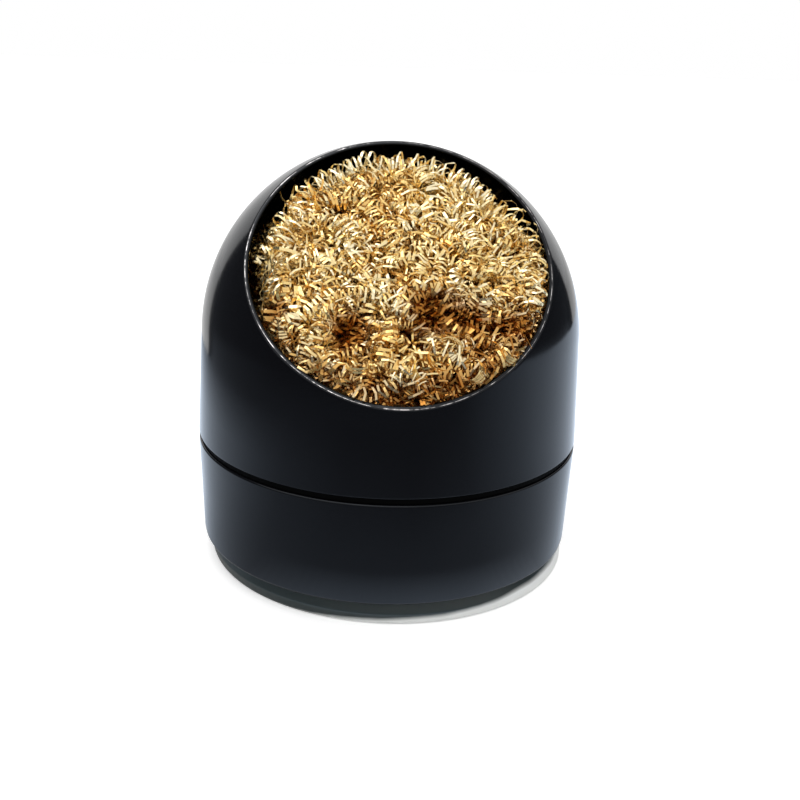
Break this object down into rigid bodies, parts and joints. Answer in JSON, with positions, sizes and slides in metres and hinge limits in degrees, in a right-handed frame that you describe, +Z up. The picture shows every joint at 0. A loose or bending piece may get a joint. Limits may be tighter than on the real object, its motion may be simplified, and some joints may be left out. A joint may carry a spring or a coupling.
{
  "type": "soldering tip cleaner",
  "caption": "Bench soldering-tip cleaner: gloss black domed cover with a slanted round mouth full of curly brass wool, on a weighted cup with a rubber foot.",
  "frame": {"origin": "on the table, under the centre of the foot pad, on the cover's turning axis", "axes": "+Z up along the cover's turning axis; the slanted mouth faces -Y and up; +X to the right when looking into the mouth"},
  "size_m": [0.075, 0.075, 0.081],
  "materials": {
    "gloss_enamel": "gloss",
    "seal_rubber": "matte",
    "bare_steel": "satin",
    "plated_screw": "satin",
    "foot_rubber": "satin",
    "brass_ribbon": "polished"
  },
  "bodies": {
    "base": {"base_cup": "gloss_enamel", "ballast_disc": "bare_steel", "ballast_screws": "plated_screw", "foot_pad": "foot_rubber"},
    "insert": {"seal_ring": "seal_rubber", "brass_wool": "brass_ribbon"},
    "cover": {"dome_cover": "gloss_enamel"}
  },
  "joints": [
    {"name": "cover_turn", "type": "hinge", "parent": "base", "child": "insert", "pos_m": [0, 0, 0.0242], "axis": [0, 0, 1], "continuous": true},
    {"name": "cover_lift", "type": "slide", "parent": "insert", "child": "cover", "axis": [0, 0, 1], "range_m": [0, 0.06]}
  ]
}
